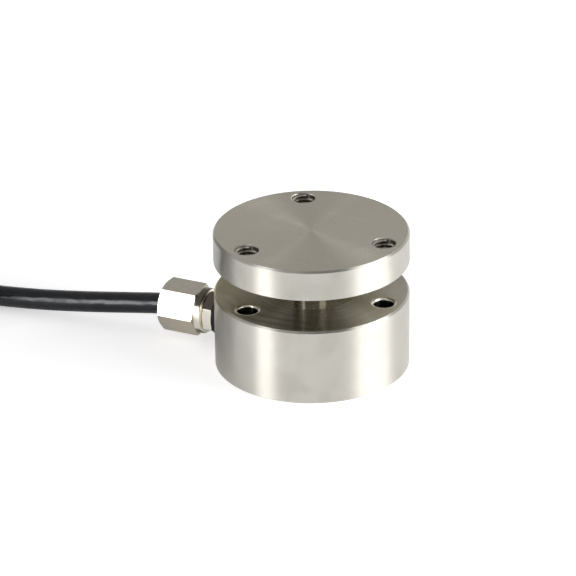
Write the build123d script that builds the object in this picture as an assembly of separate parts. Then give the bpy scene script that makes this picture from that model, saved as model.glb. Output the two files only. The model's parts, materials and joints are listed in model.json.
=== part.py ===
"""Inline load cell: a spool-shaped sensing element turned from one bar, with a mounting
flange above and a hollow body below, a cable gland on its side and 3 m of cable.

Millimetres, +Z up. The origin is the centre of the bolt circle on the bottom face.
The gland points along -X, midway between two of the three bolt holes."""

from build123d import *
from math import cos, pi, radians, sin, tan
import os

# Turned body
FLANGE_D = 50.0
TOP_FLANGE_T = 8.0
GAP = 8.6
STEM_D = 9.0
STEM_FILLET = 1.5
RIM_CHAMFER = 0.5
EDGE_BREAK = 0.2

# Bolt holes, M6 in both ends
BOLT_EDGE = 5.0
BOLT_COUNT = 3
THREAD_D = 6.0
THREAD_MOUTH_BREAK = 0.25
LOWER_THREAD_DEPTH = 14.0
PILOT_D = 5.1
PILOT_MOUTH_ROUND = 0.8
DRILL_POINT = 118.0

# Hollow of the lower body, from below
COVER_WALL = 1.25
COVER_RECESS_DEPTH = 2.2
COVER_SET_BACK = 0.3
COVER_CLEARANCE = 0.03
COVER_LEDGE_W = 1.0
GASKET_T = 0.5
GASKET_W = 0.8
BOARD_LEDGE_W = 1.0
BOARD_LEDGE_T = 0.6
CHAMBER_H = 4.6
MEMBRANE_T = 2.6
HUB_DROP = 2.0
FLEXURE_FILLET = 0.5

# Strain gauges, terminal board and what is on it
GAUGE_MARGIN = 1.15
GAUGE_LENGTH = 4.2
GAUGE_WIDTH = 3.6
GAUGE_T = 0.12
GAUGE_COUNT = 4
LEAD_WIRE_D = 0.35
LEAD_WIRE_PITCH = 1.8
LEAD_TAB_INSET = 0.5
LEAD_PAD_SHIFT = 0.8
LEAD_BEND = 0.8
BOARD_T = 1.2
BOARD_CLEARANCE = 0.1
BOARD_HOLE_D = 7.0
RESISTOR = (3.2, 1.6, 0.55)
RESISTOR_INSET = 5.0
RESISTOR_ANGLES = {"span_resistor_1": 35.0, "span_resistor_2": -35.0,
                   "zero_trim_resistor": 80.0, "temperature_resistor": -80.0}

# Gland, in distances from the body's axis along its own axis
GLAND_Z = 8.2
SPOT_FACE_DEPTH = 0.6
SPOT_FACE_MARGIN = 0.25
GLAND_THREAD_D = 8.0
GLAND_FIT = 0.05
SPIGOT_OVERHANG = 0.3
SEAL_T = 1.95
SEAL_WALL = 1.4
BODY_HEX_AF = 10.0
BODY_HEX_T = 2.7
GROMMET_WALL = 1.25
GLAND_TUBE_LENGTH = 7.85
GLAND_TUBE_WALL = 0.75
POCKET_DEPTH = 6.3
GROMMET_PROUD = 0.2
CLAMP_RING_T = 1.2
CLAMP_RING_GAP = 0.2
NUT_AF = 12.0
NUT_TURN = 25.6
NUT_COLLAR_T = 2.05
NUT_COLLAR_ROUND = 0.7
NUT_HEX_T = 10.65
NUT_FACE_STEP = 0.7
NUT_CORNER_BREAK = 0.33
NUT_END_GAP = 0.1
NUT_BORE_GAP = 0.05
NUT_MOUTH_GAP = 0.55
HEX_CHAMFER = 30.0

# Cable
CABLE_D = 5.5
CABLE_BORE_GAP = 0.1
JACKET_INSIDE = 1.5
CORE_D = 1.2
CORE_SPREAD = 0.78
CORE_PADS = {"inner_core_red": (4.6, 1, -1), "inner_core_black": (1.6, 1, 1),
             "inner_core_green": (-1.6, -1, 1), "inner_core_white": (-4.6, -1, -1)}
CORE_PAD_INSET = 2.5
CORE_STRAIGHT = 2.0
CORE_RISE = 2.2

# Loose stretch of the cable, laid as the photograph shows it; the coil starts in line with its end
LEAD_ROUTE = [(-35.0, 0.0, 8.2), (-40.5, 0.0, 8.2), (-49.0, 0.0, 6.8), (-61.0, -0.5, 4.9),
              (-74.0, -2.1, 3.6), (-86.6, -3.6, 2.88), (-93.5, -4.15, 2.8), (-100.43, -3.18, 2.85)]
LEAD_STUB = 19.0

# Oval coil, long along X: rows of turns, each row's turns in the hollows of the row below
COIL_MEAN_D = 44.0
COIL_STRAIGHT = 24.6
COIL_ROW_TURNS = 3
COIL_ROWS = 6
COIL_ROW_RISE = 4.77
COIL_CORNER = 2.0
COIL_TUCK = 0.35
TIE_PLACES = {"coil_tie_1": (0, 20.0), "coil_tie_2": (1, 250.0)}
TIE_WIDTH = 3.6
TIE_T = 0.8
TIE_GAP = 0.15
TIE_HEAD = (5.4, 4.6, 3.2)

# Tail of the cable, lying on top of the coil; its stub comes up out of the highest row
TAIL_ROUTE = [(-131.0, -4.9, 33.1), (-137.4, -5.35, 33.95), (-143.9, -6.2, 33.5),
              (-154.6, -9.17, 33.45)]
TAIL_STUB = 21.0
SLEEVE_WALL = 0.35
SLEEVE_OVERLAP = 6.0
SLEEVE_FRONT = 6.0
SLEEVE_FRONT_D = 4.4
WIRE_D = 1.3
WIRE_RING_R = 1.45
WIRE_FIRST_RUN = 4.0
WIRE_TIP_D = 0.7
WIRE_TIP = 6.0

# Each stripped wire: its angle round the sleeve's front, and its points after its first run
WIRE_ROUTES = {
    "core_red": (162.0, [(-166.6, -21.5, 32.28), (-166.2, -29.3, 31.0), (-163.0, -35.9, 31.0)]),
    "core_black": (-126.0, [(-167.5, -20.3, 31.55), (-168.0, -28.1, 31.0), (-165.8, -35.4, 31.0)]),
    "shield_wire": (90.0, [(-168.4, -18.9, 32.73), (-169.8, -26.6, 31.0), (-168.5, -34.3, 31.0)]),
    "core_green": (-54.0, [(-169.3, -17.5, 31.55), (-171.6, -25.0, 31.0), (-171.3, -33.0, 31.0)]),
    "core_white": (18.0, [(-170.1, -16.3, 32.28), (-173.2, -23.6, 31.0), (-173.9, -31.8, 31.0)]),
}

# Rule for the bends of every loose cord: the share of the shorter run that an arc takes
ARC_SHARE = 0.45
PAST = 1.0

flange_r = FLANGE_D / 2
bolt_circle_r = flange_r - BOLT_EDGE
thread_r = THREAD_D / 2
mouth_r = thread_r + THREAD_MOUTH_BREAK
recess_r = bolt_circle_r - mouth_r - COVER_WALL
cavity_r = recess_r - COVER_LEDGE_W
upper_r = cavity_r - BOARD_LEDGE_W
hub_r = upper_r - GAUGE_LENGTH - 2 * GAUGE_MARGIN
gauge_mid_r = (hub_r + upper_r) / 2
resistor_r = cavity_r - RESISTOR_INSET
core_pad_x = -BOARD_HOLE_D / 2 - CORE_PAD_INSET
stem_r = STEM_D / 2
board_seat_z = GLAND_Z + GLAND_THREAD_D / 2 + BOARD_LEDGE_T
board_bottom_z = board_seat_z - BOARD_T
membrane_z = board_seat_z + CHAMBER_H
gap_bottom_z = membrane_z + MEMBRANE_T
gap_top_z = gap_bottom_z + GAP
total_h = gap_top_z + TOP_FLANGE_T
cable_r = CABLE_D / 2
ON_BASE = (Align.CENTER, Align.CENTER, Align.MIN)
gland_plane = Plane(origin=(0, 0, GLAND_Z), x_dir=(0, 0, 1), z_dir=(-1, 0, 0))

body_corner_r = BODY_HEX_AF / 2 / cos(pi / 6)
nut_corner_r = NUT_AF / 2 / cos(pi / 6)
pocket_d = CABLE_D + 2 * GROMMET_WALL
seal_d = GLAND_THREAD_D + 2 * SEAL_WALL
gland_tube_d = pocket_d + 2 * GLAND_TUBE_WALL
spot_face_r = max(body_corner_r, seal_d / 2) + SPOT_FACE_MARGIN / 2
jacket_end_r = cavity_r - JACKET_INSIDE
cord_start_r = -LEAD_ROUTE[0][0]
spigot_end_r = cavity_r + SPIGOT_OVERHANG
seal_start_r = flange_r - SPOT_FACE_DEPTH
hex_start_r = seal_start_r + SEAL_T
tube_start_r = hex_start_r + BODY_HEX_T
tube_end_r = tube_start_r + GLAND_TUBE_LENGTH
pocket_start_r = tube_end_r - POCKET_DEPTH
grommet_end_r = tube_end_r + GROMMET_PROUD
ring_end_r = grommet_end_r + CLAMP_RING_T
nut_start_r = tube_start_r + NUT_END_GAP
nut_hex_r = nut_start_r + NUT_COLLAR_T
nut_end_r = nut_hex_r + NUT_HEX_T

coil_side = COIL_ROW_TURNS * CABLE_D / 2
coil_outer_r = COIL_MEAN_D / 2 + coil_side
coil_inner_r = COIL_MEAN_D / 2 - coil_side
tie_top_z = TIE_GAP + TIE_T
coil_height = tie_top_z + CABLE_D + (COIL_ROWS - 1) * COIL_ROW_RISE
coil_turns = COIL_ROWS / 2 * (2 * COIL_ROW_TURNS - 1)
turn_length = pi * COIL_MEAN_D + 2 * COIL_STRAIGHT
tie_slot_z = tie_top_z + TIE_GAP


def on_circle(radius, angle, z=0.0):
    """A point at an angle in degrees on a circle about the Z axis."""
    return Vector(radius * cos(radians(angle)), radius * sin(radians(angle)), z)


def rod(diameter, start, end):
    """A round rod along the gland's axis between two distances from the body's axis."""
    return gland_plane * Pos(0, 0, start) * Cylinder(diameter / 2, end - start, align=ON_BASE)


def turned(profile):
    """The solid turned about the gland's axis from (distance, radius) points, closed on the axis."""
    points = [(radius, station) for station, radius in profile]
    points = [(0, points[0][1])] + points + [(0, points[-1][1])]
    face = make_face(Plane.XZ * Polyline(*points, close=True))
    return gland_plane * revolve(face, Axis.Z)


def hex_bar(corner_r, start, end, turn=0.0):
    """A hexagonal bar along the gland's axis, with a corner up before it is turned."""
    outline = RegularPolygon(corner_r, 6)
    return gland_plane * Pos(0, 0, start) * Rot(0, 0, turn) * extrude(outline, end - start)


def bend_radii(points):
    """The radius of the arc at each inner point: as large as its two runs allow."""
    radii = []
    for before, here, after in zip(points, points[1:], points[2:]):
        run_in, run_out = here - before, after - here
        half_turn = radians(run_in.get_angle(run_out)) / 2
        radii.append(ARC_SHARE * min(run_in.length, run_out.length) / tan(half_turn))
    return radii


def cord(name, route, diameter):
    """A tube along straight runs joined by tangent arcs. Prints its radii and its volume's fit."""
    points = [Vector(*p) for p in route]
    radii = bend_radii(points)
    path = FilletPolyline(*points, radius=radii)
    section = Plane(origin=path @ 0, z_dir=path % 0) * Circle(diameter / 2)
    tube = sweep(section, path=path)
    expected = path.length * pi * diameter ** 2 / 4
    print(name, "length", round(path.length, 2), "volume ratio", round(tube.volume / expected, 5),
          "radii", [round(r, 1) for r in radii])
    return tube, path.length


def straight(start, end, diameter):
    """A straight round rod between two points."""
    plane = Plane(origin=start, z_dir=end - start)
    return extrude(plane * Circle(diameter / 2), (end - start).length)


def make_threaded_hole(depth):
    """The cutter of a blind M6 hole that opens downwards at z = 0, with its chamfer and drill point."""
    point = (thread_r - PILOT_D / 2) / tan(radians(DRILL_POINT / 2))
    profile = [(0, -PAST), (mouth_r + PAST, -PAST), (thread_r, THREAD_MOUTH_BREAK),
               (thread_r, depth), (PILOT_D / 2, depth + point), (0, depth + point)]
    return revolve(make_face(Plane.XZ * Polyline(*profile, close=True)), Axis.Z)


def make_lower_hole():
    """The cutter of one lower hole: M6 from below, then a pilot bore with a rounded mouth."""
    bore = Pos(0, 0, LOWER_THREAD_DEPTH) * Cylinder(PILOT_D / 2, gap_bottom_z, align=ON_BASE)
    low = (PILOT_D / 2, gap_bottom_z - PILOT_MOUTH_ROUND)
    high = (PILOT_D / 2 + PILOT_MOUTH_ROUND, gap_bottom_z)
    edge = Line((0, low[1]), low) + RadiusArc(low, high, PILOT_MOUTH_ROUND)
    edge += Polyline(high, (high[0], gap_bottom_z + PAST), (0, gap_bottom_z + PAST), (0, low[1]))
    mouth = revolve(make_face(Plane.XZ * edge), Axis.Z)
    return make_threaded_hole(LOWER_THREAD_DEPTH) + bore + mouth


def make_top_hole():
    """The cutter of one threaded hole through the top flange, chamfered at both ends."""
    profile = [(0, -PAST), (mouth_r + PAST, -PAST), (thread_r, THREAD_MOUTH_BREAK),
               (thread_r, TOP_FLANGE_T - THREAD_MOUTH_BREAK), (mouth_r + PAST, TOP_FLANGE_T + PAST),
               (0, TOP_FLANGE_T + PAST)]
    cutter = revolve(make_face(Plane.XZ * Polyline(*profile, close=True)), Axis.Z)
    return Pos(0, 0, gap_top_z) * cutter


def make_spool():
    """The turned shape of the sensing element, before its holes."""
    neck_r = stem_r + STEM_FILLET
    edge = Polyline((0, total_h), (flange_r - RIM_CHAMFER, total_h), (flange_r, total_h - RIM_CHAMFER),
                    (flange_r, gap_top_z + EDGE_BREAK), (flange_r - EDGE_BREAK, gap_top_z),
                    (neck_r, gap_top_z))
    edge += RadiusArc((neck_r, gap_top_z), (stem_r, gap_top_z - STEM_FILLET), -STEM_FILLET)
    edge += Line((stem_r, gap_top_z - STEM_FILLET), (stem_r, gap_bottom_z + STEM_FILLET))
    edge += RadiusArc((stem_r, gap_bottom_z + STEM_FILLET), (neck_r, gap_bottom_z), -STEM_FILLET)
    edge += Polyline((neck_r, gap_bottom_z), (flange_r - RIM_CHAMFER, gap_bottom_z),
                     (flange_r, gap_bottom_z - RIM_CHAMFER), (flange_r, EDGE_BREAK),
                     (flange_r - EDGE_BREAK, 0), (recess_r, 0), (recess_r, COVER_RECESS_DEPTH),
                     (cavity_r, COVER_RECESS_DEPTH), (cavity_r, board_seat_z), (upper_r, board_seat_z),
                     (upper_r, membrane_z - FLEXURE_FILLET))
    edge += RadiusArc((upper_r, membrane_z - FLEXURE_FILLET), (upper_r - FLEXURE_FILLET, membrane_z),
                      -FLEXURE_FILLET)
    edge += Line((upper_r - FLEXURE_FILLET, membrane_z), (hub_r + FLEXURE_FILLET, membrane_z))
    edge += RadiusArc((hub_r + FLEXURE_FILLET, membrane_z), (hub_r, membrane_z - FLEXURE_FILLET),
                      -FLEXURE_FILLET)
    edge += Polyline((hub_r, membrane_z - FLEXURE_FILLET), (hub_r, membrane_z - HUB_DROP),
                     (0, membrane_z - HUB_DROP), (0, total_h))
    return revolve(make_face(Plane.XZ * edge), Axis.Z)


def make_sensing_element():
    """The one-piece element: spool, bolt holes, gland bore and the gland's flat seat."""
    element = make_spool()
    top_hole, lower_hole = make_top_hole(), make_lower_hole()
    for i in range(BOLT_COUNT):
        place = Pos(*on_circle(bolt_circle_r, i * 360 / BOLT_COUNT))
        element -= place * top_hole
        element -= place * lower_hole
    element -= rod(GLAND_THREAD_D, cavity_r - PAST, flange_r + PAST)
    element -= rod(2 * spot_face_r, seal_start_r, flange_r + PAST)
    return element


def make_bottom_cover():
    """The pressed-in plate that closes the hollow, set back from the bottom face."""
    height = COVER_RECESS_DEPTH - GASKET_T - COVER_SET_BACK
    radius = recess_r - COVER_CLEARANCE
    return Pos(0, 0, COVER_SET_BACK) * Cylinder(radius, height, align=ON_BASE)


def make_cover_gasket():
    """The flat ring between the cover and its ledge."""
    radius = recess_r - COVER_CLEARANCE
    ring = Circle(radius) - Circle(radius - GASKET_W)
    return Pos(0, 0, COVER_RECESS_DEPTH - GASKET_T) * extrude(ring, GASKET_T)


def make_strain_gauge(angle):
    """One foil gauge bonded under the membrane, lying along a radius."""
    foil = Box(GAUGE_LENGTH, GAUGE_WIDTH, GAUGE_T, align=(Align.CENTER, Align.CENTER, Align.MAX))
    return Rot(0, 0, angle) * Pos(gauge_mid_r, 0, membrane_z) * foil


def make_gauge_leads(angle):
    """The two fine wires from a gauge's tabs down to the terminal board."""
    top_z, low_z = membrane_z - GAUGE_T, board_seat_z
    third = (top_z - low_z) / 3
    tab_r = gauge_mid_r + GAUGE_LENGTH / 2 - LEAD_TAB_INSET
    pad_r = tab_r - LEAD_PAD_SHIFT
    wires = []
    for side in (-1, 1):
        y = side * LEAD_WIRE_PITCH / 2
        path = FilletPolyline((tab_r, y, top_z), (tab_r, y, top_z - third),
                              (pad_r, y, low_z + third), (pad_r, y, low_z), radius=LEAD_BEND)
        section = Plane(origin=path @ 0, z_dir=path % 0) * Circle(LEAD_WIRE_D / 2)
        wires.append(Rot(0, 0, angle) * sweep(section, path=path))
    return Compound(children=wires)


def make_terminal_board():
    """The ring-shaped circuit board bonded up against its shoulder in the hollow."""
    ring = Circle(cavity_r - BOARD_CLEARANCE) - Circle(BOARD_HOLE_D / 2)
    return Pos(0, 0, board_bottom_z) * extrude(ring, BOARD_T)


def make_resistor(angle):
    """One flat resistor soldered under the terminal board."""
    chip = Box(*RESISTOR, align=(Align.CENTER, Align.CENTER, Align.MAX))
    return Rot(0, 0, angle) * Pos(resistor_r, 0, board_bottom_z) * chip


def make_inner_core(pad_y, side, lift):
    """One conductor from the end of the jacket up to its pad on the board."""
    y, z = side * CORE_SPREAD, GLAND_Z + lift * CORE_SPREAD
    start_x = -jacket_end_r
    path = FilletPolyline((start_x, y, z), (start_x + CORE_STRAIGHT, y, z),
                          (core_pad_x, pad_y, board_bottom_z - CORE_RISE),
                          (core_pad_x, pad_y, board_bottom_z), radius=CORE_D)
    section = Plane(origin=path @ 0, z_dir=path % 0) * Circle(CORE_D / 2)
    return sweep(section, path=path)


def make_gland_body():
    """Hexagon, threaded spigot into the body, and the outer tube that holds the grommet."""
    face_r = BODY_HEX_AF / 2
    rise = (body_corner_r - face_r) * tan(radians(HEX_CHAMFER))
    envelope = turned([(hex_start_r, body_corner_r), (tube_start_r - rise, body_corner_r),
                       (tube_start_r, face_r)])
    body = hex_bar(body_corner_r, hex_start_r, tube_start_r) & envelope
    body += rod(GLAND_THREAD_D - 2 * GLAND_FIT, spigot_end_r, hex_start_r)
    body += rod(gland_tube_d, tube_start_r, tube_end_r)
    body -= rod(CABLE_D + 2 * CABLE_BORE_GAP, spigot_end_r - PAST, tube_end_r)
    body -= rod(pocket_d, pocket_start_r, tube_end_r + PAST)
    return body


def make_gland_seal():
    """The black sealing ring between the gland's hexagon and its seat on the body."""
    ring = rod(seal_d, seal_start_r, hex_start_r)
    return ring - rod(GLAND_THREAD_D, seal_start_r - PAST, hex_start_r + PAST)


def make_grommet():
    """The rubber bush that is squeezed onto the cable."""
    bush = rod(pocket_d - 2 * GLAND_FIT, pocket_start_r, grommet_end_r)
    return bush - rod(CABLE_D, pocket_start_r - PAST, grommet_end_r + PAST)


def make_clamp_ring():
    """The brass ring between the nut's shoulder and the grommet."""
    ring = rod(gland_tube_d - 2 * GLAND_FIT, grommet_end_r, ring_end_r)
    return ring - rod(CABLE_D + 2 * CLAMP_RING_GAP, grommet_end_r - PAST, ring_end_r + PAST)


def make_gland_nut():
    """The compression nut: a hexagon with a domed outer end and a round collar at its inner end."""
    collar_r = NUT_AF / 2
    face_r = collar_r - NUT_FACE_STEP
    slope = tan(radians(HEX_CHAMFER))
    front = nut_end_r - (nut_corner_r - face_r) * slope
    back = nut_hex_r + NUT_CORNER_BREAK * slope
    envelope = turned([(nut_hex_r, nut_corner_r - NUT_CORNER_BREAK), (back, nut_corner_r),
                       (front, nut_corner_r), (nut_end_r, face_r)])
    nut = hex_bar(nut_corner_r, nut_hex_r, nut_end_r, NUT_TURN) & envelope
    start = (collar_r - NUT_COLLAR_ROUND, nut_start_r)
    end = (collar_r, nut_start_r + NUT_COLLAR_ROUND)
    edge = Line((0, nut_start_r), start) + RadiusArc(start, end, -NUT_COLLAR_ROUND)
    edge += Polyline(end, (collar_r, nut_hex_r), (0, nut_hex_r), (0, nut_start_r))
    nut += gland_plane * revolve(make_face(Plane.XZ * edge), Axis.Z)
    nut -= rod(gland_tube_d + 2 * NUT_BORE_GAP, nut_start_r - PAST, ring_end_r)
    nut -= rod(CABLE_D + 2 * NUT_MOUTH_GAP, ring_end_r, nut_end_r + PAST)
    return nut


def coil_section():
    """Half-section of the coil's outer shape, in the XZ plane."""
    middle = ((coil_inner_r + coil_outer_r) / 2, coil_height / 2)
    return Pos(*middle) * RectangleRounded(coil_outer_r - coil_inner_r, coil_height, COIL_CORNER)


def beyond(end, before, length):
    """The point that a run reaches when it goes on past its end by a length."""
    end, before = Vector(*end), Vector(*before)
    return end + (end - before).normalized() * length


def coil_centres():
    """The centres of the oval's two ends on the floor: the lead's last run touches the near one."""
    touch = beyond(LEAD_ROUTE[-1], LEAD_ROUTE[-2], LEAD_STUB)
    along = touch - Vector(*LEAD_ROUTE[-1])
    inward = Vector(-along.Y, along.X, 0).normalized()
    near = touch + inward * (coil_outer_r - cable_r - COIL_TUCK)
    return Vector(near.X, near.Y, 0), Vector(near.X - COIL_STRAIGHT, near.Y, 0)


def make_tie_slot():
    """What a tie's band takes from under the coil: all of its section below a rounded outline."""
    width, height = coil_outer_r - coil_inner_r, coil_height - tie_slot_z
    kept = Pos(COIL_MEAN_D / 2, tie_slot_z + height / 2) * RectangleRounded(width, height, COIL_CORNER)
    corners = (width + 2 * PAST, tie_slot_z + COIL_CORNER + PAST)
    whole = Pos(COIL_MEAN_D / 2, -PAST) * Rectangle(*corners, align=(Align.CENTER, Align.MIN))
    slot_w = TIE_WIDTH + 2 * TIE_GAP
    return Pos(0, slot_w / 2, 0) * extrude(Plane.XZ * (whole - kept), slot_w)


def make_cable_coil(centres):
    """The outer shape of the coil, with a short stub of cable at its start and at its end."""
    near, far = centres
    half = revolve(Plane.XZ * coil_section(), Axis.Z, revolution_arc=180)
    side = extrude(Plane.XZ * coil_section(), COIL_STRAIGHT)
    ring = Pos(*near) * Rot(0, 0, -90) * half + Pos(*far) * Rot(0, 0, 90) * half
    ring = ring + Pos(*near) * Rot(0, 0, -90) * side + Pos(*far) * Rot(0, 0, 90) * side
    slot = make_tie_slot()
    for end, angle in TIE_PLACES.values():
        ring -= Pos(*centres[end]) * Rot(0, 0, angle) * slot
    touch = beyond(LEAD_ROUTE[-1], LEAD_ROUTE[-2], LEAD_STUB)
    leave = beyond(TAIL_ROUTE[0], TAIL_ROUTE[1], TAIL_STUB)
    ring += straight(Vector(*LEAD_ROUTE[-1]), touch, CABLE_D)
    return ring + straight(Vector(*TAIL_ROUTE[0]), leave, CABLE_D)


def make_coil_tie(centre, angle):
    """One cable tie round the bundle, with its lock on top."""
    inner_w = coil_outer_r - coil_inner_r + 2 * TIE_GAP
    inner_h = coil_height + TIE_GAP - tie_top_z
    hole = RectangleRounded(inner_w, inner_h, COIL_CORNER)
    band = RectangleRounded(inner_w + 2 * TIE_T, inner_h + 2 * TIE_T, COIL_CORNER + TIE_T) - hole
    section = Pos(COIL_MEAN_D / 2, tie_top_z + inner_h / 2) * band
    loop = Pos(0, TIE_WIDTH / 2, 0) * extrude(Plane.XZ * section, TIE_WIDTH)
    head = Pos(COIL_MEAN_D / 2, 0, tie_top_z + inner_h) * Box(*TIE_HEAD, align=ON_BASE)
    return Pos(*centre) * Rot(0, 0, angle) * (loop + head)


def make_end_sleeve(tip, ahead):
    """The shrunk sleeve over the end of the jacket, tapering to the conductors."""
    outer_r = cable_r + SLEEVE_WALL
    profile = [(0, -SLEEVE_OVERLAP), (outer_r, -SLEEVE_OVERLAP), (outer_r, 0),
               (SLEEVE_FRONT_D / 2, SLEEVE_FRONT), (0, SLEEVE_FRONT)]
    sleeve = revolve(make_face(Plane.XZ * Polyline(*profile, close=True)), Axis.Z)
    sleeve -= Cylinder(cable_r, SLEEVE_OVERLAP + PAST, align=(Align.CENTER, Align.CENTER, Align.MAX))
    return Plane(origin=tip, z_dir=ahead) * sleeve


def wire_start(tip, ahead, ring_angle):
    """The first two points of a stripped wire, straight out of the sleeve's front."""
    side = Vector(-ahead.Y, ahead.X, 0).normalized()
    across = WIRE_RING_R * cos(radians(ring_angle))
    up = WIRE_RING_R * sin(radians(ring_angle))
    start = tip + ahead * SLEEVE_FRONT - side * across + ahead.cross(side) * up
    return [start, start + ahead * WIRE_FIRST_RUN]


def make_wires(tip, ahead):
    """The four stripped conductors and the shield, each along its route, and their bare tips."""
    wires, tips = {}, []
    for name, (ring_angle, points) in WIRE_ROUTES.items():
        route = wire_start(tip, ahead, ring_angle) + [Vector(*p) for p in points]
        wires[name], _ = cord(name, route, WIRE_D)
        if name != "shield_wire":
            tips.append(straight(route[-1], beyond(route[-1], route[-2], WIRE_TIP), WIRE_TIP_D))
    wires["core_tips"] = Compound(children=tips)
    return wires


def make_cable():
    """Every solid of the loose cable: lead, coil, ties, tail, end sleeve, wires and tips."""
    centres = coil_centres()
    lead, lead_length = cord("cable_lead", LEAD_ROUTE, CABLE_D)
    tail, tail_length = cord("cable_tail", TAIL_ROUTE, CABLE_D)
    straight_parts = cord_start_r - jacket_end_r + LEAD_STUB + TAIL_STUB
    wound = turn_length * coil_turns
    print("cable length", round(straight_parts + lead_length + wound + tail_length))
    tip = Vector(*TAIL_ROUTE[-1])
    ahead = (tip - Vector(*TAIL_ROUTE[-2])).normalized()
    pieces = {"cable_lead": lead, "cable_coil": make_cable_coil(centres), "cable_tail": tail}
    for name, (end, angle) in TIE_PLACES.items():
        pieces[name] = make_coil_tie(centres[end], angle)
    pieces["end_sleeve"] = make_end_sleeve(tip, ahead)
    pieces.update(make_wires(tip, ahead))
    return pieces


def make_parts():
    """Every node by its name."""
    parts = {
        "sensing_element": make_sensing_element(),
        "bottom_cover": make_bottom_cover(),
        "cover_gasket": make_cover_gasket(),
        "terminal_board": make_terminal_board(),
        "gland_body": make_gland_body(),
        "gland_seal": make_gland_seal(),
        "gland_grommet": make_grommet(),
        "gland_clamp_ring": make_clamp_ring(),
        "gland_nut": make_gland_nut(),
        "cable_entry": rod(CABLE_D, jacket_end_r, cord_start_r),
    }
    for i in range(GAUGE_COUNT):
        angle = i * 360 / GAUGE_COUNT
        parts[f"strain_gauge_{i + 1}"] = make_strain_gauge(angle)
        parts[f"gauge_leads_{i + 1}"] = make_gauge_leads(angle)
    for name, angle in RESISTOR_ANGLES.items():
        parts[name] = make_resistor(angle)
    for name, (pad_y, side, lift) in CORE_PADS.items():
        parts[name] = make_inner_core(pad_y, side, lift)
    parts.update(make_cable())
    return parts


os.makedirs("parts", exist_ok=True)
for node, shape in make_parts().items():
    export_step(shape, f"parts/{node}.step")
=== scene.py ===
"""Looks of the inline load cell: its finishes, threads, cable and studio.

The file is laid out as an add-on. Run as a script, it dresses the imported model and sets
the camera, the lamps and the floor. Lengths are in metres and the frame is the model's own:
+Z up the loading axis, the gland along -X, the bottom face on the floor."""

import json
from math import cos, pi, radians, sin

import bpy
from bpy.props import FloatProperty, FloatVectorProperty, IntProperty, PointerProperty
from bpy.types import Operator, Panel, PropertyGroup
from mathutils import Matrix, Vector


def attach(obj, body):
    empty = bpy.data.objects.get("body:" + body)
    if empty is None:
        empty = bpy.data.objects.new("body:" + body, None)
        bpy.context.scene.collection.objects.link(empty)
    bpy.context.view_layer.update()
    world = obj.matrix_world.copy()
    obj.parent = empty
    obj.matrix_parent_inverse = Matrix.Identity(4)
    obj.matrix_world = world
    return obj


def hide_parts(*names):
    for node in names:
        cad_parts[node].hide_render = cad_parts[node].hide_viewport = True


bl_info = {
    "name": "Inline load cell",
    "version": (1, 0, 0),
    "blender": (4, 5, 0),
    "location": "3D View > Sidebar > Load cell",
    "description": "Finishes, threads, cable and studio of a small flange-mounted load cell",
    "category": "Object",
}

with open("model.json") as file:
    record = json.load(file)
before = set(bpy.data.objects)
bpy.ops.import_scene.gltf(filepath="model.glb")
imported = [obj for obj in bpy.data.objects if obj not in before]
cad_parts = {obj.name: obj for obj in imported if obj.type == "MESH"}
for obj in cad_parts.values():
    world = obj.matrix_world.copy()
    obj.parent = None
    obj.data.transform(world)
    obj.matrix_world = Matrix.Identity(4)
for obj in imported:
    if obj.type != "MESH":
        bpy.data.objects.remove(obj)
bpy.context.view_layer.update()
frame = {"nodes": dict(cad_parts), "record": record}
NODES = frame["nodes"]
MM = 0.001

# Route of the cable, in millimetres, as in the part's source; the tail lies in a hollow of the coil
LEAD_ROUTE = [(-35.0, 0.0, 8.2), (-40.5, 0.0, 8.2), (-49.0, 0.0, 6.8), (-61.0, -0.5, 4.9),
              (-74.0, -2.1, 3.6), (-86.6, -3.6, 2.88), (-93.5, -4.15, 2.8), (-100.43, -3.18, 2.85),
              (-121.13, -0.28, 2.9)]
TAIL_ROUTE = [(-122.5, -2.9, 29.4), (-131.0, -4.9, 32.0), (-137.4, -5.35, 32.75),
              (-143.9, -6.2, 33.0), (-154.6, -9.17, 33.45)]

# The oval coil: centre of its near bend and length of its straight sides, in millimetres
COIL_NEAR = (-123.03, -27.42)
COIL_STRAIGHT = 24.6
COIL_ROWS = 6
COIL_TURNS = 15
COIL_TIES = ("coil_tie_1", "coil_tie_2")

# The loose turn on top of the coil: its radius and its rise above the last row
TOP_TURN_RADIUS = 0.0235
TOP_TURN_RISE = 0.0012

# Each turn moves over to the next one between these angles of the near bend, in degrees
CROSSING_START = 375
CROSSING_SPAN = 67

# The first turn rises from the floor: its lowest height and its rise at each control point
FIRST_LOW = 0.0029
FIRST_RISE = 0.00018

# Stripped wires, in millimetres: the first two points leave the sleeve straight
WIRE_ROUTES = {
    "core_red": [(-160.01, -12.10, 33.87), (-163.87, -13.17, 33.85), (-166.6, -21.5, 32.28),
                 (-166.2, -29.3, 31.0), (-163.0, -35.9, 31.0)],
    "core_black": [(-160.15, -11.59, 32.25), (-164.00, -12.66, 32.23), (-167.5, -20.3, 31.55),
                   (-168.0, -28.1, 31.0), (-165.8, -35.4, 31.0)],
    "shield_wire": [(-160.39, -10.78, 34.87), (-164.24, -11.85, 34.85), (-168.4, -18.9, 32.73),
                    (-169.8, -26.6, 31.0), (-168.5, -34.3, 31.0)],
    "core_green": [(-160.60, -9.95, 32.25), (-164.46, -11.02, 32.23), (-169.3, -17.5, 31.55),
                   (-171.6, -25.0, 31.0), (-171.3, -33.0, 31.0)],
    "core_white": [(-160.75, -9.45, 33.87), (-164.61, -10.52, 33.85), (-170.1, -16.3, 32.28),
                   (-173.2, -23.6, 31.0), (-173.9, -31.8, 31.0)],
}

# Bare tips of the conductors: length, start inside the insulation, radius and lay of the strands
TIP_LENGTH = 0.006
TIP_START = 0.0003
TIP_RADIUS = 0.00035
TIP_LAY = 0.0045
SHIELD_LAY = 0.006

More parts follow.
